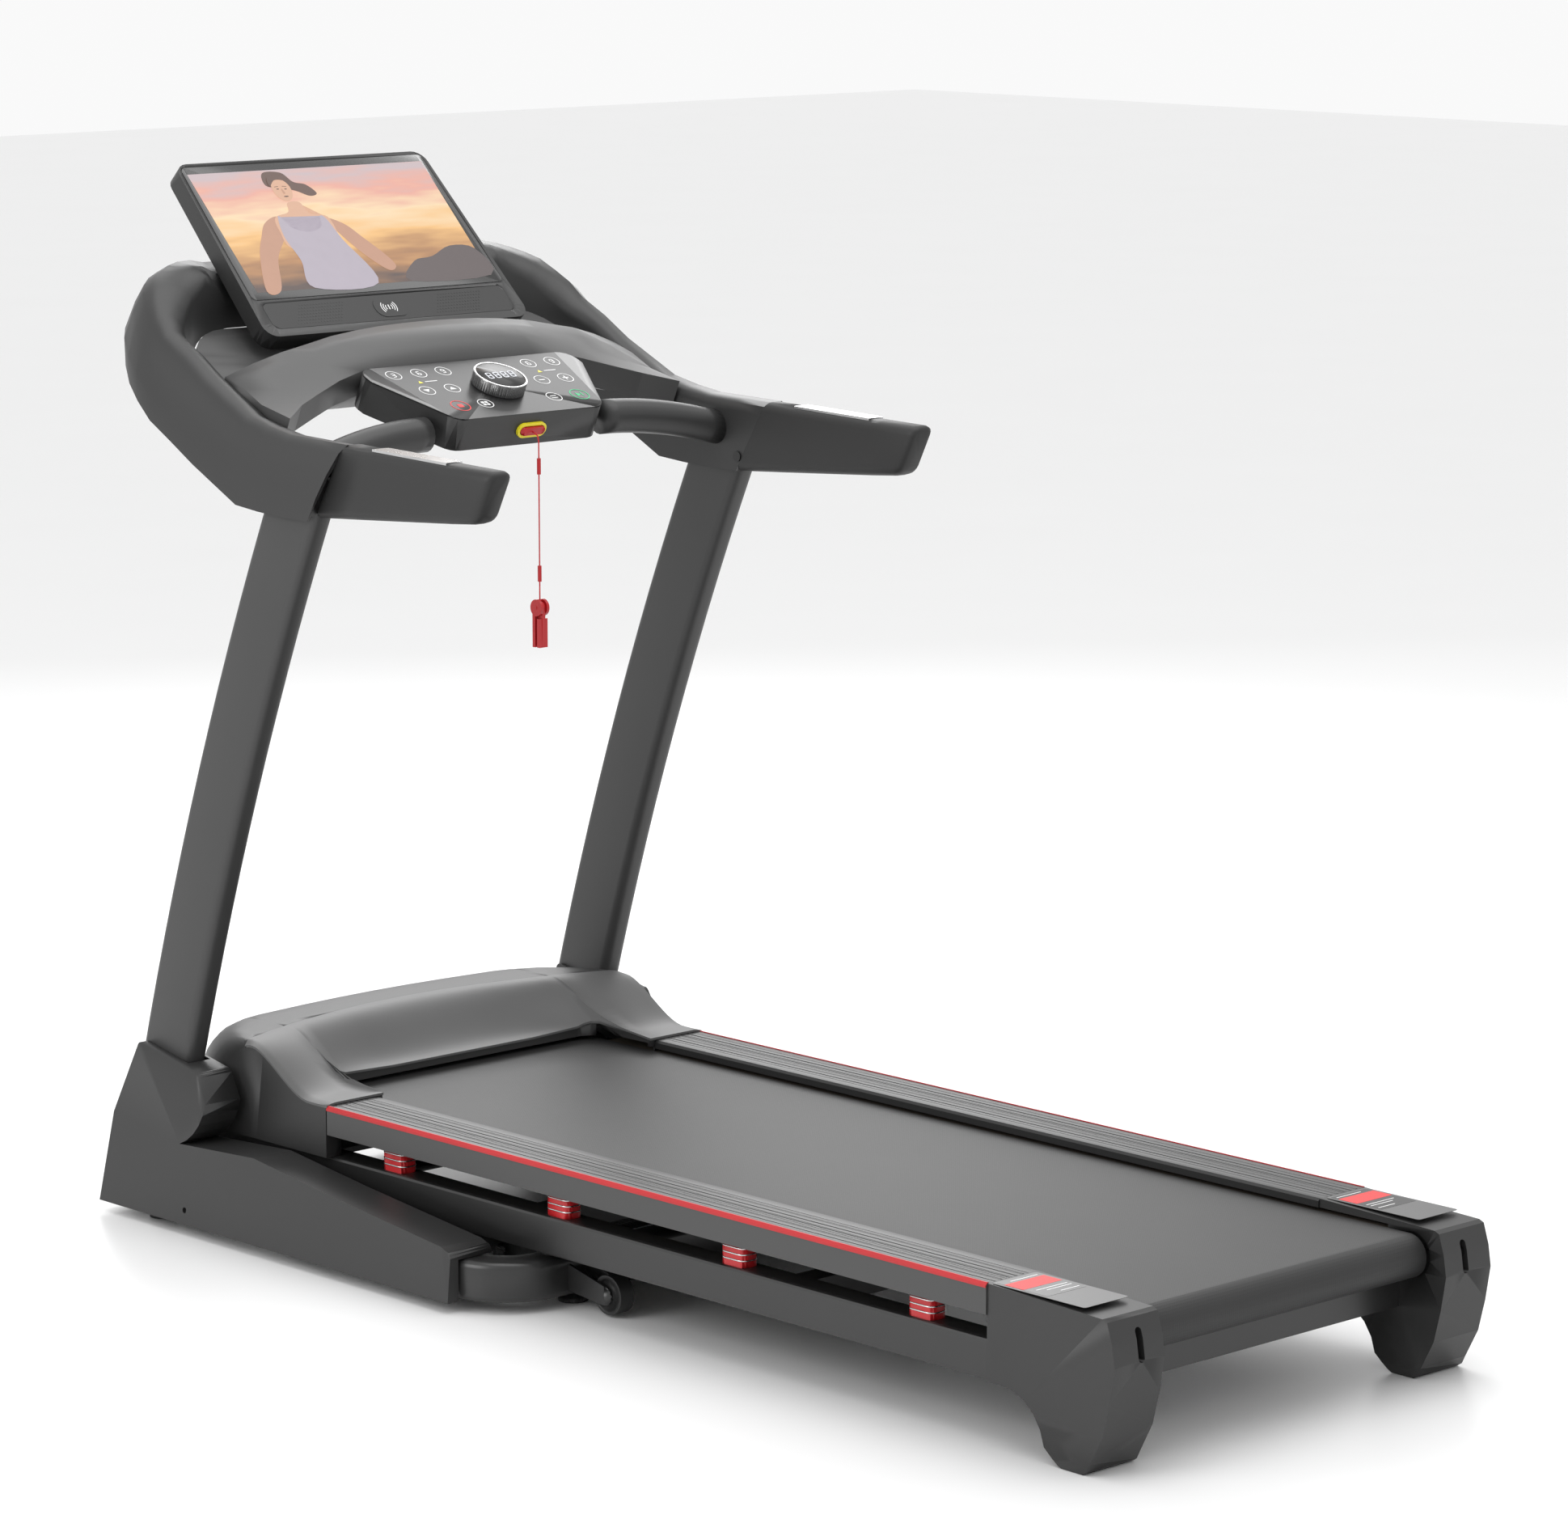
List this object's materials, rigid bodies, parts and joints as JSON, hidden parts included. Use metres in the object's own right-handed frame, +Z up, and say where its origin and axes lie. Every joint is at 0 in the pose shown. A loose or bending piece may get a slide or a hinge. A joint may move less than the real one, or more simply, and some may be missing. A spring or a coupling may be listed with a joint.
{
  "type": "folding treadmill",
  "caption": "Folding motorised treadmill with a cushioned deck, powered incline, side grips, touch keypad with a turning knob, tilting screen and a safety key on a lanyard.",
  "frame": {"origin": "on the floor, at the centre of the bounding box seen from above", "axes": "+Z up, +Y the way the runner faces, towards the motor and console, +X the runner's right hand"},
  "size_m": [0.822, 1.8474, 1.372],
  "materials": {
    "steel_black": "satin black",
    "black_plastic": "fine grain",
    "upright_paint": "satin dark grey",
    "rubber": "matt",
    "motor_grey": "semi-gloss",
    "bright_steel": "machined",
    "board": "waxed board",
    "belt": "woven back, ribbed face",
    "rail_plastic": "ribbed",
    "red_trim": "gloss",
    "red_rubber": "satin",
    "grey_plastic": "satin",
    "board_green": "satin",
    "gloss_black": "mirror gloss",
    "yellow_trim": "gloss",
    "chrome": "polished",
    "screen_glass": "glossy cover over a lit picture",
    "cord": "braided"
  },
  "bodies": {
    "base": {"base_side_tubes": "steel_black", "base_front_tube": "steel_black", "base_rear_tube": "steel_black", "left_base_cover": "black_plastic", "right_base_cover": "black_plastic", "left_upright": "upright_paint", "right_upright": "upright_paint", "base_feet": "rubber", "wheel_brackets": "steel_black", "console_ring": "upright_paint", "console_dash": "grey_plastic", "keypad_housing": "black_plastic", "keypad_panel": "gloss_black", "keypad_board": "board_green", "key_socket": "yellow_trim", "handlebars": "black_plastic", "left_grip": "rubber", "right_grip": "rubber", "pulse_plates": "chrome", "screen_bracket": "steel_black"},
    "left_wheel": {"left_transport_wheel": "rubber"},
    "right_wheel": {"right_transport_wheel": "rubber"},
    "lift": {"lift_arms": "steel_black"},
    "incline_drive": {"incline_motor": "motor_grey"},
    "incline_rod": {"incline_screw": "bright_steel"},
    "bracket": {"fold_bracket": "steel_black"},
    "strut_tube": {"strut_cylinder": "steel_black"},
    "strut_bar": {"strut_rod": "bright_steel"},
    "deck": {"deck_side_tubes": "upright_paint", "deck_cross_members": "steel_black", "axle_blocks": "bright_steel", "deck_board": "board", "running_belt": "belt", "left_side_rail": "rail_plastic", "right_side_rail": "rail_plastic", "rail_stripes": "red_trim", "deck_cushions": "red_rubber", "left_end_cap": "black_plastic", "right_end_cap": "black_plastic", "motor_hood": "black_plastic", "hood_saddle": "grey_plastic", "drive_motor": "motor_grey", "drive_belt": "rubber", "control_board": "board_green", "power_inlet": "black_plastic"},
    "front_drum": {"front_roller": "bright_steel"},
    "rear_drum": {"rear_roller": "bright_steel"},
    "motor_core": {"motor_pulley": "bright_steel"},
    "switch": {"power_switch": "red_trim"},
    "screen": {"screen_housing": "black_plastic", "screen_glass": "screen_glass", "speaker_grille": "black_plastic", "speakers": "motor_grey"},
    "knob": {"speed_knob": "chrome", "knob_display": "gloss_black"},
    "key": {"safety_key": "red_trim", "safety_cord": "cord", "cord_sleeves": "red_rubber", "safety_clip": "red_trim"},
    "jaw": {"clip_jaw": "red_trim"}
  },
  "joints": [
    {"name": "incline", "type": "hinge", "parent": "base", "child": "lift", "pos_m": [0, 0.2, 0.045], "axis": [1, 0, 0], "range_deg": [0, 10]},
    {"name": "incline_swing", "type": "hinge", "parent": "base", "child": "incline_drive", "pos_m": [0.216, 0.59, 0.036], "axis": [1, 0, 0], "range_deg": [-12.1, 0]},
    {"name": "incline_thrust", "type": "slide", "parent": "incline_drive", "child": "incline_rod", "axis": [0, -0.9658, 0.2591], "range_m": [0, 0.02358]},
    {"name": "bracket_level", "type": "hinge", "parent": "lift", "child": "bracket", "pos_m": [0, 0.76, 0.11], "axis": [1, 0, 0], "range_deg": [-6.7, 0]},
    {"name": "fold", "type": "hinge", "parent": "bracket", "child": "deck", "pos_m": [0, 0.76, 0.11], "axis": [-1, 0, 0], "range_deg": [0, 51.5]},
    {"name": "strut_swing", "type": "hinge", "parent": "bracket", "child": "strut_tube", "pos_m": [0, 0.62, 0.042], "axis": [-1, 0, 0], "range_deg": [0, 59.42]},
    {"name": "strut_slide", "type": "slide", "parent": "strut_tube", "child": "strut_bar", "axis": [0, -0.9952, 0.0974], "range_m": [0, 0.1201]},
    {"name": "front_roller_spin", "type": "hinge", "parent": "deck", "child": "front_drum", "pos_m": [0, 0.61, 0.151], "axis": [1, 0, 0], "continuous": true},
    {"name": "rear_roller_spin", "type": "hinge", "parent": "deck", "child": "rear_drum", "pos_m": [0, -0.864, 0.151], "axis": [1, 0, 0], "continuous": true},
    {"name": "motor_spin", "type": "hinge", "parent": "deck", "child": "motor_core", "pos_m": [0, 0.716, 0.172], "axis": [1, 0, 0], "continuous": true},
    {"name": "rocker", "type": "hinge", "parent": "deck", "child": "switch", "pos_m": [-0.15, 0.83538, 0.148], "axis": [1, 0, 0], "range_deg": [-8, 8]},
    {"name": "screen_tilt", "type": "hinge", "parent": "base", "child": "screen", "pos_m": [0, 0.74583, 1.16482], "axis": [1, 0, 0], "range_deg": [-2.5, 6]},
    {"name": "knob_turn", "type": "hinge", "parent": "base", "child": "knob", "pos_m": [0, 0.50624, 1.09482], "axis": [0, -0.3843, 0.9232], "continuous": true},
    {"name": "key_pull", "type": "slide", "parent": "base", "child": "key", "axis": [0, -0.9232, -0.3843], "range_m": [0, 0.018]},
    {"name": "clip_jaw", "type": "hinge", "parent": "key", "child": "jaw", "pos_m": [0.004, 0.43, 0.812], "axis": [-1, 0, 0], "range_deg": [0, 15], "stiffness_Nm_per_rad": 0.05},
    {"name": "left_wheel_spin", "type": "hinge", "parent": "base", "child": "left_wheel", "pos_m": [-0.263, -0.01, 0.028], "axis": [1, 0, 0], "continuous": true},
    {"name": "right_wheel_spin", "type": "hinge", "parent": "base", "child": "right_wheel", "pos_m": [0.263, -0.01, 0.028], "axis": [1, 0, 0], "continuous": true}
  ],
  "couplings": [
    {"joint": "incline_swing", "follows": "incline", "ratio": -1.1896},
    {"joint": "incline_thrust", "follows": "incline", "m_per_rad": 0.1334},
    {"joint": "bracket_level", "follows": "incline", "ratio": -0.664},
    {"joint": "strut_swing", "follows": "fold", "ratio": 1.1368},
    {"joint": "strut_slide", "follows": "fold", "m_per_rad": 0.13183},
    {"joint": "rear_roller_spin", "follows": "front_roller_spin", "ratio": 1},
    {"joint": "motor_spin", "follows": "front_roller_spin", "ratio": 1.625}
  ]
}
